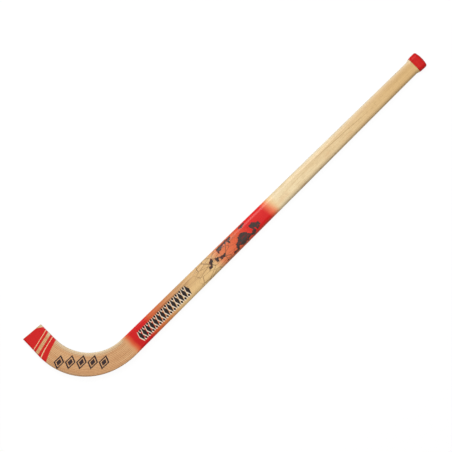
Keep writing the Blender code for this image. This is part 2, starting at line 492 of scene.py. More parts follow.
def store_places(shape: bmesh.types.BMesh) -> None:
    """Keep each vertex's present coordinates as its place, for the materials to read.

    Args:
        shape: The straight piece.
    """
    layer = shape.verts.layers.float_vector.new(PLACE)
    for vert in shape.verts:
        vert[layer] = vert.co


def bar(size: Vector, start: float) -> bmesh.types.BMesh:
    """Square bar that lies along X.

    Args:
        size: Its length, width and thickness.
        start: Where its near end lies along X.

    Returns:
        The bar, with its axis on the X axis.
    """
    shape = bmesh.new()
    bmesh.ops.create_cube(shape, size=1.0)
    bmesh.ops.scale(shape, vec=size, verts=shape.verts[:])
    bmesh.ops.translate(shape, vec=ALONG * (start + size.x / 2), verts=shape.verts[:])
    return shape


def whole(shape: bmesh.types.BMesh) -> list[Any]:
    """Every vertex, edge and face of a shape."""
    return shape.verts[:] + shape.edges[:] + shape.faces[:]


def faces_with_parts(faces: Iterable[bmesh.types.BMFace]) -> list[Any]:
    """Some faces with their edges and vertices, each once."""
    parts = {part for face in faces for part in (face, *face.edges, *face.verts)}
    return sorted(parts, key=lambda part: (type(part).__name__, part.index))


def end_face(shape: bmesh.types.BMesh, towards: Vector) -> bmesh.types.BMFace:
    """Face whose middle lies furthest in a direction."""
    return max(shape.faces, key=lambda face: face.calc_center_median().dot(towards))


def round_edges(
    shape: bmesh.types.BMesh, edges: list[bmesh.types.BMEdge], radius: float, segments: int,
) -> None:
    """Round some edges of a shape.

    Args:
        shape: The shape.
        edges: The edges.
        radius: Width of the rounding on each side of an edge.
        segments: Number of faces across the rounding.
    """
    bmesh.ops.bevel(
        shape, geom=edges, offset=radius, offset_type="OFFSET", segments=segments,
        profile=0.5, affect="EDGES", clamp_overlap=True, material=-1,
    )


def round_long_edges(shape: bmesh.types.BMesh, radius: float, segments: int) -> None:
    """Round the four long edges of a bar.

    Args:
        shape: The bar.
        radius: Width of the rounding on each side of an edge.
        segments: Number of faces across the rounding.
    """
    spans = {edge: abs(edge.verts[0].co.x - edge.verts[1].co.x) for edge in shape.edges}
    longest = max(spans.values())
    round_edges(shape, [edge for edge, span in spans.items() if span > longest / 2], radius, segments)


def round_end(
    shape: bmesh.types.BMesh, towards: Vector, radius: float, segments: int,
) -> bmesh.types.BMFace:
    """Round the rim of the end that lies in a direction, and find what is left of its face."""
    round_edges(shape, end_face(shape, towards).edges[:], radius, segments)
    return end_face(shape, towards)


def extrude(shape: bmesh.types.BMesh, face: bmesh.types.BMFace) -> bmesh.types.BMFace:
    """Extrude one face in place.

    Args:
        shape: The shape.
        face: The face, which is taken out.

    Returns:
        The new face, which hasn't moved yet.
    """
    grown = bmesh.ops.extrude_face_region(shape, geom=[face])
    bmesh.ops.delete(shape, geom=[face], context="FACES")
    return next(item for item in grown["geom"] if isinstance(item, bmesh.types.BMFace))


def add_row(shape: bmesh.types.BMesh, along: float) -> None:
    """Split a shape's faces across its length.

    Args:
        shape: The shape.
        along: Distance along at which they are split.
    """
    bmesh.ops.bisect_plane(
        shape, geom=whole(shape), dist=SAME_POINT, plane_co=ALONG * along, plane_no=ALONG,
    )


def cut(shape: bmesh.types.BMesh, at: Vector, keep: Vector, rows: Sequence[float]) -> None:
    """Cut a shape with a plane and close the cut.

    Args:
        shape: The shape.
        at: A point of the plane.
        keep: Normal of the plane, towards the side that stays.
        rows: Distances along at which the closing face is split, so that it can be bent.
    """
    found = bmesh.ops.bisect_plane(
        shape, geom=whole(shape), dist=SAME_POINT, plane_co=at, plane_no=keep, clear_inner=True,
    )
    rim = [item for item in found["geom_cut"] if isinstance(item, bmesh.types.BMEdge)]
    faces = bmesh.ops.edgeloop_fill(shape, edges=rim)["faces"]
    for along in rows:
        shape.verts.index_update()
        shape.edges.index_update()
        shape.faces.index_update()
        split = bmesh.ops.bisect_plane(
            shape, geom=faces_with_parts(faces), dist=SAME_POINT, plane_co=ALONG * along, plane_no=ALONG,
        )
        faces = [item for item in split["geom"] if isinstance(item, bmesh.types.BMFace)]


# The blank, and the joint that is cut in it

@dataclass
class Blank:
    """Straight blank, planed to the outline and rounded along its edges, before it is cut and bent."""

    form: StickForm
    width: float = 0.0400
    thickness: float = 0.0200
    radius: float = 0.0050
    corner_segments: int = 8
    spare: float = 0.0100
    toe_round: float = 0.0008
    toe_round_segments: int = 3
    toe_rows: int = 6
    bend_rows: int = 64
    splice_rows: int = 24
    shaft_rows: int = 12
    flare_rows: int = 10
    shape: bmesh.types.BMesh = field(init=False)

    def __post_init__(self) -> None:
        """Make the blank."""
        self.shape = self._rounded_bar()
        for along in self.rows():
            add_row(self.shape, along)
        for vert in self.shape.verts:
            vert.co = self._fitted(vert.co)
        self._cut_toe()

    def rows(self) -> list[float]:
        """List the rows of vertices.

        Returns:
            Distances along at which the blank has a row.
        """
        form = self.form
        stretches = (
            (0.0, form.toe_length, self.toe_rows),
            (form.toe_length, form.shaft_start, self.bend_rows),
            (form.shaft_start, form.mouth_at, self.splice_rows),
            (form.mouth_at, form.flare_at, self.shaft_rows),
            (form.flare_at, form.shoulder_at, self.flare_rows),
        )
        return [blend(start, end, step / count) for start, end, count in stretches for step in range(count)]

    def _rounded_bar(self) -> bmesh.types.BMesh:
        """Make the bar that the blank is planed from.

        Returns:
            A square bar of even size, with its four long edges rounded.
        """
        length = self.form.shoulder_at + self.spare
        shape = bar(Vector((length, self.width, self.thickness)), -self.spare)
        bmesh.ops.translate(shape, vec=ACROSS * self.width / 2, verts=shape.verts[:])
        round_long_edges(shape, self.radius, self.corner_segments)
        return shape

    def _fitted(self, place: Vector) -> Vector:
        """Move a point of the even bar to the stick's outline, thickness and edge radius.

        Args:
            place: The point of the bar.

        Returns:
            The point of the planed blank.
        """
        inner, outer = self.form.edges(place.x)
        half = self.form.half_thickness(place.x)
        radius, reach = self.form.rounding(place.x)
        if place.y <= self.radius:
            across = inner + place.y * reach / self.radius
        elif place.y >= self.width - self.radius:
            across = outer - (self.width - place.y) * reach / self.radius
        else:
            share = (place.y - self.radius) / (self.width - 2 * self.radius)
            across = blend(inner + reach, outer - reach, share)
        below = self.thickness / 2 - abs(place.z)
        if below <= self.radius:
            height = half - below * radius / self.radius
        else:
            height = (half - radius) * abs(place.z) / (self.thickness / 2 - self.radius)
        return Vector((place.x, across, math.copysign(height, place.z)))

    def _cut_toe(self) -> None:
        """Saw the toe off at its angle, and take the edge off the cut."""
        keep = Vector((1.0, self.form.toe_slope, 0.0)).normalized()
        cut(self.shape, Vector(), keep, ())
        round_end(self.shape, -ALONG, self.toe_round, self.toe_round_segments)


@dataclass
class Splice:
    """Planes of the V joint between the stack of veneers and the shaft."""

    form: StickForm
    nose_seams: tuple[int, int] = (6, 8)
    mouth_seams: tuple[int, int] = (1, 13)

    def plane(self, side: Side) -> tuple[Vector, Vector]:
        """One side of the wedge.

        Args:
            side: Which of the two.

        Returns:
            A point of the plane, and its normal towards the middle of the wedge.
        """
        start = Vector((self.form.nose_at, self.form.seam(self.nose_seams[side.value]), 0.0))
        end = Vector((self.form.mouth_at, self.form.seam(self.mouth_seams[side.value]), 0.0))
        run = (end - start).normalized()
        outwards = Vector((-run.y, run.x, 0.0))
        return start, outwards if side is Side.INSIDE else -outwards

    @property
    def nose(self) -> Vector:
        """Point of the wedge's blunt nose."""
        return ALONG * self.form.nose_at


# Pieces

def new_object(name: str, data: bpy.types.ID) -> bpy.types.Object:
    """New object in the scene.

    Args:
        name: Its name.
        data: The mesh, lamp or camera that it shows.

    Returns:
        The object, unturned, at the origin.
    """
    item = bpy.data.objects.new(name, data)
    bpy.context.scene.collection.objects.link(item)
    return item


def dress(
    name: str, shape: bmesh.types.BMesh, material: bpy.types.Material, body: Body, node: str,
) -> None:
    """Make a shape a finished piece.

    Args:
        name: The piece's name.
        shape: The shape where the piece lies, with its places stored. It is freed.
        material: The finish.
        body: The body that the piece rides on.
        node: The CAD node that the piece stands for.
    """
    sharp_angle = math.radians(35.0)
    bmesh.ops.recalc_face_normals(shape, faces=shape.faces[:])
    mesh = bpy.data.meshes.new(name)
    shape.to_mesh(mesh)
    shape.free()
    mesh.shade_smooth()
    mesh.set_sharp_from_angle(angle=sharp_angle)
    mesh.materials.append(material)
    piece = new_object(name, mesh)
    even = piece.modifiers.new("flat faces stay flat", "WEIGHTED_NORMAL")
    even.keep_sharp = True
    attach(piece, body.value)
    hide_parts(node)
    LOG.info("%s stands for %s: %d faces", name, node, len(mesh.polygons))


@dataclass
class Blade:
    """Stack of bent veneers, from the toe to the V joint."""

    form: StickForm
    blank: Blank
    splice: Splice
    nodes: list[str]
    material: bpy.types.Material

    def build(self) -> None:
        """Make every veneer."""
        for index, node in enumerate(self.nodes):
            shape = self._veneer(index)
            dress(f"veneer_{index + 1:02d}", shape, self.material, Body.STICK, node)

    def _veneer(self, index: int) -> bmesh.types.BMesh:
        """Cut one veneer from the blank and bend it.

        Args:
            index: Its number from the inside of the crook, from 0.

        Returns:
            The bent veneer.
        """
        rows = self.blank.rows()
        shape = self.blank.shape.copy()
        if index > 0:
            cut(shape, ACROSS * self.form.seam(index), ACROSS, rows)
        if index < len(self.nodes) - 1:
            cut(shape, ACROSS * self.form.seam(index + 1), -ACROSS, rows)
        low_nose, high_nose = self.splice.nose_seams
        if low_nose <= index < high_nose:
            cut(shape, self.splice.nose, -ALONG, ())
        else:
            at, inwards = self.splice.plane(Side.INSIDE if index < low_nose else Side.OUTSIDE)
            cut(shape, at, -inwards, rows)
        self.form.bend(shape)
        return shape


@dataclass
class Shaft:
    """Solid length of ash: the wedge of the V joint, the taper, the knob and the tenon."""

    form: StickForm
    blank: Blank
    splice: Splice
    material: bpy.types.Material
    tenon_inset: float = 0.0017
    tenon_length: float = 0.0160
    shoulder_round: float = 0.0005
    tenon_round: float = 0.0010
    round_segments: int = 3

    def build(self) -> None:
        """Make the shaft."""
        rows = self.blank.rows()
        shape = self.blank.shape.copy()
        for side in Side:
            at, inwards = self.splice.plane(side)
            cut(shape, at, inwards, rows)
        cut(shape, self.splice.nose, ALONG, ())
        self._add_tenon(shape)
        self.form.bend(shape)
        dress("shaft_length", shape, self.material, Body.STICK, "shaft")

    def _add_tenon(self, shape: bmesh.types.BMesh) -> None:
        """Round the knob's end and grow the tenon out of it.

        Args:
            shape: The straight shaft.
        """
        knob = round_end(shape, ALONG, self.shoulder_round, self.round_segments)
        inset = self.tenon_inset - self.shoulder_round
        bmesh.ops.inset_region(shape, faces=[knob], thickness=inset, use_even_offset=True)
        tip = extrude(shape, knob)
        bmesh.ops.translate(shape, vec=ALONG * self.tenon_length, verts=tip.verts[:])
        round_end(shape, ALONG, self.tenon_round, self.round_segments)


@dataclass
class RubberCap:
    """Moulded rubber cap that is pushed over the tenon, open towards the shaft."""

    material: bpy.types.Material
    depth: float = 0.0160
    wall: float = 0.0024
    corner_radius: float = 0.0080
    corner_segments: int = 12
    crown_radius: float = 0.0045
    crown_rise: float = 0.0020
    crown_segments: int = 6
    dome_shares: tuple[float, ...] = (0.15, 0.32, 0.5, 0.68, 0.85)
    rim_round: float = 0.0004
    rim_segments: int = 3
    bead_length: float = 0.0026
    groove_width: float = 0.0009
    groove_depth: float = 0.0003
    mouth_draw: float = 0.0006
    widest_at: float = 0.0090
    side_rows: tuple[float, ...] = (0.0050, 0.0070, 0.0090)

    def build(self) -> None:
        """Make the cap where its CAD node is."""
        low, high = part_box("butt_cap")
        size = high - low
        shape = self._block(Vector((size.x - self.crown_rise, size.y, size.z)))
        self._dome(shape)
        self._shape_sides(shape, size)
        self._hollow(shape)
        store_places(shape)
        mouth = Vector((low.x, (low.y + high.y) / 2, (low.z + high.z) / 2))
        bmesh.ops.translate(shape, vec=mouth, verts=shape.verts[:])
        dress("rubber_cap", shape, self.material, Body.CAP, "butt_cap")

    def _block(self, size: Vector) -> bmesh.types.BMesh:
        """Solid block with rounded long edges and a rounded crown.

        Args:
            size: Its length, width and thickness.

        Returns:
            The block, with its mouth at 0 and its axis along X.
        """
        shape = bar(size, 0.0)
        round_long_edges(shape, self.corner_radius, self.corner_segments)
        round_end(shape, ALONG, self.crown_radius, self.crown_segments)
        return shape

    def _dome(self, shape: bmesh.types.BMesh) -> None:
        """Swell the crown's flat face in steps.

        Args:
            shape: The block.
        """
        face = end_face(shape, ALONG)
        flat = face.calc_center_median().x
        before = 0.0
        for share in self.dome_shares:
            face = extrude(shape, face)
            rise = self.crown_rise * (1.0 - (1.0 - share) ** 2)
            shrink = (1.0 - share) / (1.0 - before)
            before = share
            for vert in face.verts:
                vert.co = Vector((flat + rise, vert.co.y * shrink, vert.co.z * shrink))

    def _shape_sides(self, shape: bmesh.types.BMesh, size: Vector) -> None:
        """Draw the sides in towards the mouth, and sink a fine groove that sets off the mouth's bead.

        Args:
            shape: The block.
            size: Length, width and thickness of the cap.
        """
        groove = self.bead_length + self.groove_width / 2
        for along in (self.bead_length, groove, self.bead_length + self.groove_width, *self.side_rows):
            add_row(shape, along)
        for vert in shape.verts:
            draw = self.mouth_draw * max(1.0 - vert.co.x / self.widest_at, 0.0) ** 2
            if abs(vert.co.x - groove) < self.groove_width / 4:
                draw += self.groove_depth
            vert.co.y *= 1.0 - 2 * draw / size.y
            vert.co.z *= 1.0 - 2 * draw / size.z

    def _hollow(self, shape: bmesh.types.BMesh) -> None:
        """Round the mouth's edge and sink the hollow for the tenon.

        Args:
            shape: The block.
        """
        mouth = round_end(shape, -ALONG, self.rim_round, self.rim_segments)
        inset = self.wall - self.mouth_draw - self.rim_round
        bmesh.ops.inset_region(shape, faces=[mouth], thickness=inset, use_even_offset=True)
        floor = extrude(shape, mouth)
        bmesh.ops.translate(shape, vec=ALONG * self.depth, verts=floor.verts[:])


# Finishes

@dataclass(frozen=True)
class BlankPlace:
    """Where a point lay on its straight blank, as signals of one sheet."""

    sheet: NodeSheet
    along: Signal
    across: Signal
    height: Signal
    past: Signal

    @classmethod
    def read(cls, sheet: NodeSheet, heel: float = 0.0) -> "BlankPlace":
        """Read the place that each piece carries.

        Args:
            sheet: The sheet.
            heel: Where the stick's heel lies along the blank.

        Returns:
            The place, with "past" as the distance past the heel.
        """
        stored = sheet.add("ShaderNodeAttribute", {"attribute_name": PLACE}, {}, "Vector")
        along, across, height = sheet.parts(stored)
        return cls(sheet, along, across, height, along - heel)


@dataclass(frozen=True)
class Swells:
    """One layer of noise in wood or paint, by the size of its swells."""

    length: float
    width: float
    depth: float
    detail: float = 2.0

    def read(self, place: BlankPlace, shift: Signal | float = 0.0) -> Signal:
        """Read the layer.

        Args:
            place: The place on the blank.
            shift: Offset that gives each strip a noise of its own.

        Returns:
            The noise, about 0.5 on average.
        """
        sheet = place.sheet
        across = place.across / self.width + shift
        point = sheet.point(place.along / self.length, across, place.height / self.depth)
        return sheet.noise(point, self.detail)


@dataclass(frozen=True)
class Stretch:
    """Stretch of the stick, by the distances past the heel over which it fades in and out."""

    fade_in: Span
    fade_out: Span

    def read(self, place: BlankPlace) -> Signal:
        """1 on the stretch and 0 beyond it."""
        return place.past.rise(*self.fade_in) * place.past.rise(*self.fade_out)


@dataclass(frozen=True)
class Stain:
    """Thin change of tone along one edge of a wood, which paints shade and highlights into its colour."""

    tone: Rgba
    strength: float
    side: Span
    stretch: Stretch | None = None

    def over(self, place: BlankPlace, from_edge: Signal, ground: Signal) -> Signal:
        """Paint the tone over a wood.

        Args:
            place: The place on the blank.
            from_edge: Distance that the tone's side is measured in.
            ground: The wood's colour.

        Returns:
            The colour with the painted tone.
        """
        cover = from_edge.rise(*self.side)
        if self.stretch:
            cover = cover * self.stretch.read(place)
        return place.sheet.mix(cover * self.strength, ground, self.tone)


@dataclass(frozen=True)
class Varnish:
    """Clear gloss lacquer over wood and print."""

    roughness: float = 0.50
    specular: float = 0.15
    coat_weight: float = 0.30
    coat_roughness: float = 0.31
    grain_depth: float = 0.00004

    def close(self, sheet: NodeSheet, shade: Signal, relief: Signal, cover: Signal | float = 1.0) -> None:
        """End a wood's sheet with its shader.

        Args:
            sheet: The sheet.
            shade: The surface's colour.
            relief: Height of the grain, from 0 to 1.
            cover: Where the lacquer lies.
        """
        normal = sheet.relief(relief, self.grain_depth)
        sockets = {
            "Base Color": shade,
            "Roughness": self.roughness,
            "Normal": normal,
            "Specular IOR Level": self.specular,
            "Coat Weight": cover * self.coat_weight,
            "Coat Roughness": self.coat_roughness,
        }
        sheet.surface(sockets)


@dataclass(frozen=True)
class BandPrint:
    """Sprayed band that starts at the heel. Each ink is placed by its distance from the band's start."""

    start: float = -0.0100
    length: float = 0.4300
    side_span: Span = (0.0060, 0.0340)
    tan: Rgba = tint(0.87, 0.64, 0.44)
    flame: Rgba = tint(0.88, 0.36, 0.20)
    scarlet: Rgba = tint(0.84, 0.06, 0.06)
    carmine: Rgba = tint(0.80, 0.05, 0.05)
    crimson: Rgba = tint(0.87, 0.09, 0.08)
    rust: Rgba = tint(0.83, 0.34, 0.14)
    clay: Rgba = tint(0.80, 0.52, 0.31)
    dun: Rgba = tint(0.80, 0.62, 0.42)
    sand: Rgba = tint(0.86, 0.70, 0.48)
    ochre: Rgba = tint(0.86, 0.55, 0.30)
    straw: Rgba = tint(0.91, 0.76, 0.53)
    coral: Rgba = tint(0.89, 0.50, 0.32)
    salmon: Rgba = tint(0.93, 0.46, 0.30)
    cream: Rgba = tint(0.93, 0.78, 0.57)
    inner_inks: Stops = (
        (0.014, tan), (0.022, flame), (0.029, scarlet), (0.068, scarlet), (0.081, rust), (0.128, clay),
        (0.165, dun), (0.194, sand), (0.246, sand), (0.272, coral), (0.318, flame), (0.345, crimson),
        (0.392, crimson), (0.403, salmon), (0.415, cream),
    )
    outer_inks: Stops = (
        (0.014, tan), (0.022, flame), (0.029, carmine), (0.057, carmine), (0.075, rust), (0.110, ochre),
        (0.147, straw), (0.248, straw), (0.268, coral), (0.308, flame), (0.355, scarlet), (0.395, scarlet),
        (0.406, salmon), (0.420, cream),
    )
    sprayed: Stretch = Stretch((-0.0030, 0.0040), (0.4190, 0.4020))
    drift: Swells = Swells(0.0220, 0.0140, 0.0300)
    drift_reach: float = 0.0040
    threads: Swells = Swells(0.0700, 0.0026, 0.0060)
    thread_from: Span = (0.51, 0.66)
    thread_strength: float = 0.50
    thin: Stretch = Stretch((0.0700, 0.1100), (0.2600, 0.2000))
    thread_side: Span = (0.0260, 0.0140)
    thread: Rgba = tint(0.50, 0.28, 0.15)

    def over(self, place: BlankPlace, ground: Signal) -> Signal:
        """Spray the band over a wood.

        Args:
            place: The place on the blank.
            ground: The wood's colour.

        Returns:
            The colour with the band.
        """
        sheet = place.sheet
        drift = (self.drift.read(place) - 0.5) * self.drift_reach
        share = (place.past + drift - self.start) / self.length
        inner = sheet.ramp(share, self._shares(self.inner_inks))
        outer = sheet.ramp(share, self._shares(self.outer_inks))
        paint = sheet.mix(place.across.rise(*self.side_span), inner, outer)
        bare = self.thin.read(place) * place.across.rise(*self.thread_side)
        threads = self.threads.read(place).rise(*self.thread_from) * bare
        paint = sheet.mix(threads * self.thread_strength, paint, self.thread)
        return sheet.mix(self.sprayed.read(place), ground, paint)

    def _shares(self, stops: Stops) -> Stops:
        """Stops with their places as shares of the band's length."""
        return [(along / self.length, shade) for along, shade in stops]


@dataclass(frozen=True)
class LozengeRow:
    """Row of black lozenges on the band, with small ones between their points and a cream shadow."""

    start: float = 0.0290
    count: int = 14
    pitch: float = 0.0100
    middle: float = 0.0225
    half_height: float = 0.0122
    half_width: float = 0.0042
    small_reach: float = 0.0088
    small_half_height: float = 0.0034
    small_half_width: float = 0.0026
    shadow_back: float = 0.0018
    shadow_out: float = 0.0010
    soft: float = 0.12
    ink: Rgba = tint(0.13, 0.08, 0.08)
    shadow: Rgba = tint(0.95, 0.88, 0.78)

    def over(self, place: BlankPlace, ground: Signal) -> Signal:
        """Print the row over the band.

        Args:
            place: The place on the blank.
            ground: The colour below.

        Returns:
            The colour with the row.
        """
        shadow = self._marks(place.past + self.shadow_back, place.across - self.shadow_out)
        marks = self._marks(place.past, place.across)
        return place.sheet.mix(marks, place.sheet.mix(shadow, ground, self.shadow), self.ink)

    def _marks(self, past: Signal, across: Signal) -> Signal:
        """Where the lozenges lie.

        Args:
            past: Distance past the heel.
            across: Distance across the blank.

        Returns:
            1 on a lozenge and 0 beside it.
        """
        step = (past - self.start) / self.pitch
        from_line = abs(step.fraction() - 0.5) * self.pitch
        from_gap = self.pitch / 2 - from_line
        from_middle = abs(across - self.middle)
        tall = self._lozenge(from_line, from_middle, self.half_width, self.half_height)
        from_point = abs(from_middle - self.small_reach)
        small = self._lozenge(from_gap, from_point, self.small_half_width, self.small_half_height)
        tall_ends = step.within(0.0, self.count, self.soft)
        small_ends = step.within(0.5, self.count - 0.5, self.soft)
        return (tall * tall_ends).most(small * small_ends)

    def _lozenge(self, side: Signal, rise: Signal, half_width: float, half_height: float) -> Signal:
        """1 on one lozenge and 0 beside it, by the distances from its middle along and across."""
        return (1.0 - side / half_width - rise / half_height).rise(-self.soft, self.soft)


@dataclass(frozen=True)
class ShardField:
    """Field of hairlines that breaks up into charcoal shards towards the band's far end."""

    cell_length: float = 0.0150
    cell_width: float = 0.0095
    lean: float = 0.6
    seed: float = 33.2
    cracks: tuple[tuple[float, float, float], ...] = ((0.0300, 0.0120, -0.8), (0.0380, 0.0170, 1.1))
    lined: Stretch = Stretch((0.1860, 0.2050), (0.3350, 0.2800))
    shattered: Stretch = Stretch((0.2150, 0.2600), (0.3650, 0.3300))
    margins: Span = (0.0045, 0.0375)
    margin_soft: float = 0.0020
    density: float = 0.40
    shard_soft: float = 0.02
    line_edges: Span = (0.034, 0.014)
    line_strength: float = 0.75
    ripple: Swells = Swells(0.0045, 0.0045, 0.0045, 4.0)
    ripple_along: float = 0.65
    ripple_across: float = 0.80
    tinge_from: Span = (0.50, 0.64)
    ink: Rgba = tint(0.24, 0.20, 0.18)
    tinge: Rgba = tint(0.45, 0.12, 0.11)
    line: Rgba = tint(0.42, 0.29, 0.20)

    def over(self, place: BlankPlace, ground: Signal) -> Signal:
        """Print the field over the band.

        Args:
            place: The place on the blank.
            ground: The colour below.

        Returns:
            The colour with the field.
        """
        sheet = place.sheet
        ripple = self.ripple.read(place)
        step = (place.past + place.across * self.lean) / self.cell_length + self.seed
        along = step + (ripple - 0.5) * self.ripple_along
        across = place.across / self.cell_width + (ripple - 0.5) * self.ripple_across
        cell = sheet.point(along, across, 0.0)
        draw, _, _ = sheet.parts(sheet.cells(cell, CellPart.CHANCE))
        edge = self._nearest_crack(place)
        inside = place.across.within(*self.margins, self.margin_soft)
        shard = (self.shattered.read(place) * self.density - draw).rise(0.0, self.shard_soft) * inside
        cracked = edge.rise(*self.line_edges) * self.lined.read(place)
        ground = sheet.mix(cracked * self.line_strength, ground, self.line)
        ink = sheet.mix(ripple.rise(*self.tinge_from), self.ink, self.tinge)
        return sheet.mix(shard, ground, ink)

    def _nearest_crack(self, place: BlankPlace) -> Signal:
        """Find the nearest hairline.

        Args:
            place: The place on the blank.

        Returns:
            Distance to it, in widths of a cell between the hairlines.
        """
        borders = []
        for length, width, lean in self.cracks:
            cell = place.sheet.point((place.past + place.across * lean) / length, place.across / width, 0.0)
            borders.append(place.sheet.cells(cell, CellPart.BORDER))
        first, second = borders
        return first.least(second)


@dataclass(frozen=True)
class ToePrint:
    """Red block round the toe, with slanting stripes and a bare tip."""

    reach: float = 0.0435
    slant: float = 0.24
    red: Rgba = tint(0.84, 0.09, 0.08)
    cream: Rgba = tint(0.96, 0.80, 0.62)
    soft: float = 0.0005
    bare_stripe: Span = (0.0215, 0.0285)
    fine_stripes: tuple[Span, ...] = ((0.0338, 0.0352), (0.0150, 0.0164))
    bare_tip: float = 0.0070
    bare_tip_width: float = 0.0130
    tip_soft: float = 0.03

    def over(self, place: BlankPlace, from_cut: Signal, ground: Signal) -> Signal:
        """Print the block over a wood.

        Args:
            place: The place on the blank.
            from_cut: Distance from the toe's cut.
            ground: The wood's colour.

        Returns:
            The colour with the block.
        """
        slanted = place.along - place.across * self.slant
        block = slanted.rise(self.reach + self.soft / 2, self.reach - self.soft / 2)
        bare = slanted.within(*self.bare_stripe, self.soft)
        tip = from_cut / self.bare_tip + place.across / self.bare_tip_width - 1.0
        cover = block * (1.0 - bare) * tip.rise(-self.tip_soft, self.tip_soft)
        shade = place.sheet.mix(cover, ground, self.red)
        for low, high in self.fine_stripes:
            stripe = slanted.within(low, high, self.soft)
            shade = place.sheet.mix(stripe * cover, shade, self.cream)
        return shade


@dataclass(frozen=True)
class DiamondChain:
    """Straight chain of leaning diamonds across the blade's bend, each with a smaller one inside."""

    middle: Span = (-0.4291, -0.0243)
    turn: float = PICTURE_TURN
    count: int = 5
    pitch: float = 0.0225
    half_width: float = 0.0108
    half_height: float = 0.0145
    lean: float = 0.30
    line: float = 0.0026
    core: float = 0.0044
    soft: float = 0.0005
    ink: Rgba = tint(0.23, 0.16, 0.16)

    def over(self, place: BlankPlace, ground: Signal) -> Signal:
        """Print the chain over the blade.

        Args:
            place: The place on the blank.
            ground: The colour below.

        Returns:
            The colour with the chain.
        """
        sheet = place.sheet
        x, y, _ = sheet.parts(sheet.add("ShaderNodeTexCoord", {}, {}, "Object"))
        cosine = math.cos(math.radians(self.turn))
        sine = math.sin(math.radians(self.turn))
        right = (x - self.middle[0]) * cosine + (y - self.middle[1]) * sine
        up = (y - self.middle[1]) * cosine - (x - self.middle[0]) * sine
        step = (right - up * self.lean) / self.pitch + self.count / 2
        side = abs(step.fraction() - 0.5) * self.pitch
        depth = 1.0 - side / self.half_width - abs(up) / self.half_height
        scale = self.half_width * self.half_height / math.hypot(self.half_width, self.half_height)
        inside = depth * scale
        outline = inside.within(0.0, self.line, self.soft)
        core = inside.rise(self.core - self.soft / 2, self.core + self.soft / 2)
        marks = outline.most(core) * step.within(0.0, self.count, self.soft)
        return sheet.mix(marks, ground, self.ink)


@dataclass(frozen=True)
class BandPrints:
    """All that is sprayed and printed past the heel, in the order it is laid on."""

    band: BandPrint = BandPrint()
    shards: ShardField = ShardField()
    lozenges: LozengeRow = LozengeRow()

    def over(self, place: BlankPlace, ground: Signal) -> Signal:
        """Lay the prints over a wood.

        Args:
            place: The place on the blank.
            ground: The wood's colour.

        Returns:
            The colour with all of them.
        """
        for layer in (self.band, self.shards, self.lozenges):
            ground = layer.over(place, ground)
        return ground


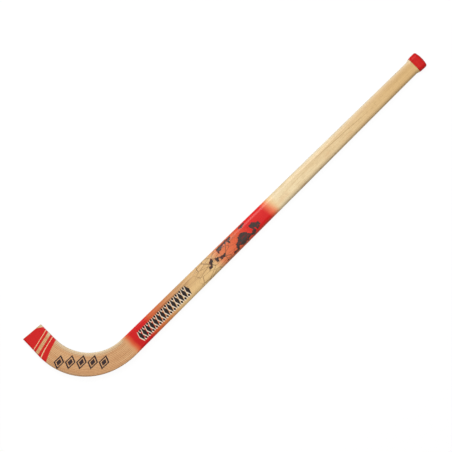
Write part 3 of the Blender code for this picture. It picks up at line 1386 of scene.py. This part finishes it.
@dataclass(frozen=True)
class Beech:
    """Bent beech veneers, with fine glue lines, long grain, short flecks and the prints."""

    form: StickForm
    veneer_count: int
    varnish: Varnish = Varnish()
    prints: BandPrints = BandPrints()
    toe: ToePrint = ToePrint()
    chain: DiamondChain = DiamondChain()
    light: Rgba = tint(0.92, 0.74, 0.54)
    middle: Rgba = tint(0.87, 0.66, 0.46)
    dark: Rgba = tint(0.76, 0.54, 0.36)
    glue: Rgba = tint(0.56, 0.37, 0.22)
    fleck: Rgba = tint(0.62, 0.42, 0.27)
    end_grain: Rgba = tint(0.60, 0.42, 0.26)
    grain: Swells = Swells(0.0600, 0.0024, 0.0110, 3.0)
    fine: Swells = Swells(0.0120, 0.00042, 0.0014)
    dash: Swells = Swells(0.0024, 0.00053, 0.0008, 1.0)
    pores: Swells = Swells(0.0200, 0.00040, 0.00040, 1.0)
    grain_share: float = 0.85
    own_share: float = 0.16
    fine_share: float = 0.40
    tone_base: float = -0.17
    tone_stops: tuple[float, float, float] = (0.22, 0.50, 0.80)
    fleck_from: Span = (0.64, 0.72)
    fleck_strength: float = 0.5
    # Paler strip along the inside of the crook: partly the first veneers' own paler tone, partly a painted
    # highlight where the edge faces the light.
    pale: Stain = Stain(tint(0.88, 0.83, 0.69), 0.60, (0.0100, 0.0010))
    # Painted shade: darker along the outer edge at the bottom of the bend, which turns away from the light.
    rubbed: Stain = Stain(
        tint(0.42, 0.34, 0.32), 0.24, (0.0395, 0.0458), Stretch((-0.130, -0.112), (-0.055, -0.080)),
    )
    strip_shift: float = 7.3
    line_edges: Span = (0.00036, 0.00014)
    line_relief: float = 0.6
    line_swells: Swells = Swells(0.0350, 1.0, 1.0)
    line_base: float = 0.35
    line_gain: float = 0.80
    line_soft: float = 0.1
    end_edges: Span = (0.0007, 0.0003)
    end_strength: float = 0.33
    speckle_from: Span = (0.35, 0.65)

    def material(self) -> bpy.types.Material:
        """Make the finish.

        Returns:
            The material.
        """
        material, sheet = new_material("varnished_beech")
        place = BlankPlace.read(sheet, self.form.shaft_start)
        wood, relief = self._wood(place)
        from_cut = place.along + place.across * self.form.toe_slope
        shade = self.toe.over(place, from_cut, wood)
        shade = self.chain.over(place, shade)
        shade = self.prints.over(place, shade)
        speckle = self.pores.read(place).rise(*self.speckle_from) + 1.0
        on_end = from_cut.rise(*self.end_edges)
        raw = sheet.mix(speckle * self.end_strength, wood, self.end_grain)
        self.varnish.close(sheet, sheet.mix(on_end, shade, raw), relief)
        return material

    def _wood(self, place: BlankPlace) -> tuple[Signal, Signal]:
        """Bare wood, with a paler strip along the inside that is partly painted highlight, and painted
        shade at the bend.

        Args:
            place: The place on the blank.

        Returns:
            Its colour, and the height of its grain.
        """
        sheet = place.sheet
        in_stack = (place.across + self.form.glue_thickness / 2) / self.form.pitch
        veneer = in_stack.floor().most(0.0).least(self.veneer_count - 1.0)
        shift = veneer * self.strip_shift
        grain = self.grain.read(place, shift) * self.grain_share
        own = sheet.chance(veneer + 0.5) * self.own_share
        fine = self.fine.read(place, shift)
        tone = grain + own + fine * self.fine_share + self.tone_base
        wood = sheet.ramp(tone, tuple(zip(self.tone_stops, (self.dark, self.middle, self.light))))
        # Painted highlight along the inside of the crook, and painted shade at the bottom of the bend.
        for shading in (self.pale, self.rubbed):
            wood = shading.over(place, place.across, wood)
        flecks = self.dash.read(place, shift).rise(*self.fleck_from)
        wood = sheet.mix(flecks * self.fleck_strength, wood, self.fleck)
        nearest = (in_stack + 0.5).floor()
        from_line = abs(in_stack - nearest) * self.form.pitch
        is_inside = nearest.within(0.5, self.veneer_count - 0.5, self.line_soft)
        swell = self.line_swells.read(place, nearest * self.strip_shift)
        strength = swell * self.line_gain + self.line_base
        line = from_line.rise(*self.line_edges) * is_inside * strength
        return sheet.mix(line, wood, self.glue), fine - line * self.line_relief


@dataclass(frozen=True)
class Ash:
    """Straight-grained pale ash, with year rings, soft streaks, pores and the band's prints."""

    form: StickForm
    varnish: Varnish = Varnish()
    prints: BandPrints = BandPrints()
    near: Rgba = tint(0.97, 0.89, 0.72)
    far: Rgba = tint(0.88, 0.73, 0.50)
    streak: Rgba = tint(0.78, 0.63, 0.41)
    blush: Rgba = tint(0.84, 0.64, 0.43)
    grain_line: Rgba = tint(0.62, 0.47, 0.28)
    # Tone of the painted shade a little in from the inside edge of the grip.
    handled: Rgba = tint(0.70, 0.54, 0.34)
    pore: Rgba = tint(0.60, 0.45, 0.28)
    shadow: Rgba = tint(0.50, 0.37, 0.22)
    paling: Span = (0.390, 0.800)
    wander: Swells = Swells(0.1100, 1.0, 1.0, 1.0)
    wander_reach: float = 0.0040
    broad: Swells = Swells(0.2000, 0.0053, 0.0090)
    cloud: Swells = Swells(0.0300, 0.0100, 0.0200)
    fine: Swells = Swells(0.0250, 0.00067, 0.0011, 3.0)
    pores: Swells = Swells(0.0050, 0.00022, 0.00040, 1.0)
    streaks_in: Span = (0.430, 0.470)
    calm_share: float = 0.45
    broad_from: Span = (0.42, 0.74)
    broad_strength: float = 0.34
    cloud_from: Span = (0.45, 0.70)
    cloud_strength: float = 0.12
    patches: Swells = Swells(0.0380, 0.0130, 0.0200)
    patch_from: Span = (0.50, 0.68)
    patch_side: Span = (0.0165, 0.0225)
    patch_out: Span = (0.690, 0.610)
    patch_strength: float = 0.35
    fine_from: Span = (0.48, 0.75)
    fine_strength: float = 0.20
    ring_pitch: float = 0.0023
    ring_turn: float = 0.35
    ring_early: Span = (0.62, 0.10)
    ring_strength: float = 0.22
    pore_from: Span = (0.56, 0.66)
    pore_strength: float = 0.55
    line_row: float = 0.0175
    line_slope: float = 0.055
    line_middle: float = 0.600
    line_edges: Span = (0.0010, 0.0003)
    line_stretch: Stretch = Stretch((0.480, 0.560), (0.700, 0.620))
    line_strength: float = 0.50
    # Painted shade: where and how strongly a band near the grip's inside edge is darkened.
    handled_from: Span = (0.540, 0.660)
    handled_band: Span = (0.0045, 0.0095)
    handled_soft: float = 0.0040
    handled_strength: float = 0.22
    # Painted highlight: a paler rim along the inside edge of the shaft, where the round edge catches the
    # light.
    worn: Rgba = tint(0.92, 0.92, 0.86)
    worn_rim: Stain = Stain(worn, 0.30, (0.0060, 0.0015), Stretch((0.440, 0.510), (0.900, 0.850)))
    inner_shade: Stain = Stain(shadow, 0.16, (0.0130, 0.0055), Stretch((0.404, 0.418), (0.466, 0.442)))
    outer_shade: Stain = Stain(shadow, 0.12, (0.0110, 0.0030), Stretch((0.400, 0.430), (0.600, 0.520)))
    # Painted shade along the outside edge of the shaft, which turns away from the light.
    dark_edge: Stain = Stain(shadow, 0.27, (0.0065, 0.0020))
    lacquer_ends: Span = (0.0009, 0.0003)

    def material(self) -> bpy.types.Material:
        """Make the finish.

        Returns:
            The material.
        """
        material, sheet = new_material("varnished_ash")
        place = BlankPlace.read(sheet, self.form.shaft_start)
        wood, relief = self._wood(place)
        shade = self.prints.over(place, wood)
        # Painted shade along the outside edge, laid over the wood and the prints.
        shade = self.dark_edge.over(place, self._from_outer(place), shade)
        past_knob = place.past - self.form.shaft_length
        lacquered = past_knob.rise(*self.lacquer_ends)
        self.varnish.close(sheet, shade, relief, lacquered)
        return material

    def _wood(self, place: BlankPlace) -> tuple[Signal, Signal]:
        """Bare wood, with painted shade and a painted rim highlight along its edges.

        Args:
            place: The place on the blank.

        Returns:
            Its colour, and the height of its grain.
        """
        sheet = place.sheet
        wander = (self.wander.read(place) - 0.5) * self.wander_reach
        straight = replace(place, across=place.across + wander)
        base = sheet.mix(place.past.rise(*self.paling), self.near, self.far)
        fine = self.fine.read(straight)
        broad = self.broad.read(straight).rise(*self.broad_from) * self.broad_strength
        cloud = self.cloud.read(straight).rise(*self.cloud_from) * self.cloud_strength
        threads = fine.rise(*self.fine_from) * self.fine_strength
        ring = ((straight.across + place.height * self.ring_turn) / self.ring_pitch).fraction()
        early = ring.rise(*self.ring_early)
        streaks = broad + cloud + threads + early * self.ring_strength
        growth = place.past.rise(*self.streaks_in) * (1.0 - self.calm_share) + self.calm_share
        wood = sheet.mix(streaks * growth, base, self.streak)
        patched = place.across.rise(*self.patch_side) * place.past.rise(*self.patch_out)
        blush = self.patches.read(straight).rise(*self.patch_from) * patched
        wood = sheet.mix(blush * self.patch_strength, wood, self.blush)
        pores = self.pores.read(straight).rise(*self.pore_from) * early
        wood = sheet.mix(pores * self.pore_strength, wood, self.pore)
        from_edge = place.across - place.past * self.form.taper
        # Painted shade in a band a little in from the inside edge of the grip.
        handled = from_edge.within(*self.handled_band, self.handled_soft)
        handled = handled * place.past.rise(*self.handled_from)
        wood = sheet.mix(handled * self.handled_strength, wood, self.handled)
        # Painted rim highlight, then painted shade along the inside edge next to the band.
        for shading in (self.worn_rim, self.inner_shade):
            wood = shading.over(place, from_edge, wood)
        wood = self.outer_shade.over(place, self._from_outer(place), wood)
        slant = (place.past - self.line_middle) * self.line_slope
        line = abs(straight.across - slant - self.line_row).rise(*self.line_edges)
        line = line * self.line_stretch.read(place)
        return sheet.mix(line * self.line_strength, wood, self.grain_line), fine - pores

    def _from_outer(self, place: BlankPlace) -> Signal:
        """Distance from the shaft's edge on the outside of the crook."""
        return self.form.heel_width - place.past * self.form.taper - place.across


@dataclass(frozen=True)
class RedRubber:
    """Moulded red rubber, satin, with a fine skin and scuffed edges."""

    fresh: Rgba = tint(0.81, 0.06, 0.05)
    deep: Rgba = tint(0.70, 0.04, 0.04)
    scuff: Rgba = tint(0.85, 0.27, 0.23)
    skin: Swells = Swells(0.00038, 0.00038, 0.00038)
    skin_depth: float = 0.00006
    clouds: Swells = Swells(0.0062, 0.0062, 0.0062, 3.0)
    deep_from: Span = (0.35, 0.75)
    deep_strength: float = 0.5
    worn_end: Span = (0.0175, 0.0195)
    worn_from: Span = (0.45, 0.70)
    worn_strength: float = 0.4
    roughness: float = 0.42
    rough_spread: float = 0.16
    specular: float = 0.22

    def material(self) -> bpy.types.Material:
        """Make the finish.

        Returns:
            The material.
        """
        material, sheet = new_material("red_moulded_rubber")
        place = BlankPlace.read(sheet)
        along = place.along
        skin = self.skin.read(place)
        cloud = self.clouds.read(place)
        shade = sheet.mix(cloud.rise(*self.deep_from) * self.deep_strength, self.fresh, self.deep)
        worn = along.rise(*self.worn_end) * cloud.rise(*self.worn_from)
        shade = sheet.mix(worn * self.worn_strength, shade, self.scuff)
        rough = cloud * self.rough_spread + self.roughness
        normal = sheet.relief(skin, self.skin_depth)
        sockets = {
            "Base Color": shade,
            "Roughness": rough,
            "Normal": normal,
            "Specular IOR Level": self.specular,
        }
        sheet.surface(sockets)
        return material


# Studio

@dataclass(frozen=True)
class Softbox:
    """Tall soft box beside the stick, on the side that the toe turns to, and turned towards it."""

    size: Span = (0.36, 1.3)
    shift: float = 0.26
    elevation: float = 64.0
    watts: float = 37.0
    distance: float = 2.2

    def build(self) -> None:
        """Hang the soft box."""
        lamp = bpy.data.lights.new("tall_softbox", "AREA")
        lamp.shape = "RECTANGLE"
        lamp.size, lamp.size_y = self.size
        lamp.energy = self.watts
        light = new_object("tall_softbox", lamp)
        rise = math.radians(self.elevation)
        reach = Vector((0.0, math.cos(rise), math.sin(rise))) * self.distance
        light.location = reach + ALONG * self.shift
        light.rotation_euler = (rise - math.pi / 2, 0.0, 0.0)


@dataclass
class Studio:
    """Pale floor, soft light and the camera, which looks straight down on the stick's flat side."""

    picture_side: int = 452
    metres_per_pixel: float = 0.002
    camera_turn: float = PICTURE_TURN
    camera_height: float = 4.0
    subject_height: float = 0.01025
    aim: Span = (-0.03285, -0.03345)
    sensor_mm: float = 36.0
    clip_end: float = 100.0
    floor_radius: float = 9.0
    floor_segments: int = 64
    floor_shade: Rgba = (0.36, 0.36, 0.36, 1.0)
    floor_glow: float = 1.160
    glow_share: float = 0.82
    horizon: float = 0.85
    overhead: float = 0.34
    horizon_top: Span = (0.08, 0.34)
    softbox: Softbox = Softbox()

    def build(self) -> None:
        """Set up the studio."""
        self._floor()
        self._world()
        self.softbox.build()
        self._camera()
        bpy.context.scene.view_settings.view_transform = "Standard"
        LOG.info("studio ready")

    def _floor(self) -> None:
        """White floor that keeps a faint shadow."""
        shape = bmesh.new()
        bmesh.ops.create_circle(
            shape, cap_ends=True, radius=self.floor_radius, segments=self.floor_segments,
        )
        mesh = bpy.data.meshes.new("studio_floor")
        shape.to_mesh(mesh)
        shape.free()
        floor = new_object("studio_floor", mesh)
        material, sheet = new_material("white_paper")
        paper = sheet.add("ShaderNodeBsdfDiffuse", {}, {"Color": self.floor_shade})
        glow = sheet.add("ShaderNodeEmission", {}, {"Color": WHITE, "Strength": self.floor_glow})
        paths = ("Is Camera Ray", "Is Glossy Ray", "Is Transmission Ray")
        camera, glossy, through = (sheet.add("ShaderNodeLightPath", {}, {}, path) for path in paths)
        share = camera.most(glossy).most(through) * self.glow_share
        mixed = sheet.add("ShaderNodeMixShader", {}, dict(enumerate((share, paper, glow))))
        sheet.add("ShaderNodeOutputMaterial", {}, {"Surface": mixed})
        mesh.materials.append(material)

    def _world(self) -> None:
        """White walls at the horizon and a dim ceiling."""
        world = bpy.data.worlds.new("studio_world")
        world.use_nodes = True
        bpy.context.scene.world = world
        sheet = NodeSheet(world.node_tree)
        direction = sheet.add("ShaderNodeTexCoord", {}, {}, "Generated")
        _, _, rise = sheet.parts(direction)
        strength = rise.rise(*self.horizon_top) * (self.overhead - self.horizon) + self.horizon
        walls = sheet.add("ShaderNodeBackground", {}, {"Color": WHITE, "Strength": strength})
        sheet.add("ShaderNodeOutputWorld", {}, {"Surface": walls})

    def _camera(self) -> None:
        """Camera with a long lens, straight above the stick."""
        lens = bpy.data.cameras.new("camera")
        distance = self.camera_height - self.subject_height
        lens.sensor_width = self.sensor_mm
        lens.lens = self.sensor_mm * distance / (self.picture_side * self.metres_per_pixel)
        lens.clip_end = self.clip_end
        camera = new_object("camera", lens)
        camera.location = Vector((*self.aim, self.camera_height))
        camera.rotation_euler = (0.0, 0.0, math.radians(self.camera_turn))
        bpy.context.scene.camera = camera


def main() -> None:
    """Build the stick and its studio."""
    logging.basicConfig(level=logging.INFO, format="%(name)s: %(message)s")
    form = StickForm()
    blank = Blank(form)
    splice = Splice(form)
    veneer_nodes = sorted(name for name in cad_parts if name.startswith(VENEER_NODES))
    beech = Beech(form, len(veneer_nodes)).material()
    Blade(form, blank, splice, veneer_nodes, beech).build()
    Shaft(form, blank, splice, Ash(form).material()).build()
    RubberCap(RedRubber().material()).build()
    Studio().build()


if __name__ == "__main__":
    main()
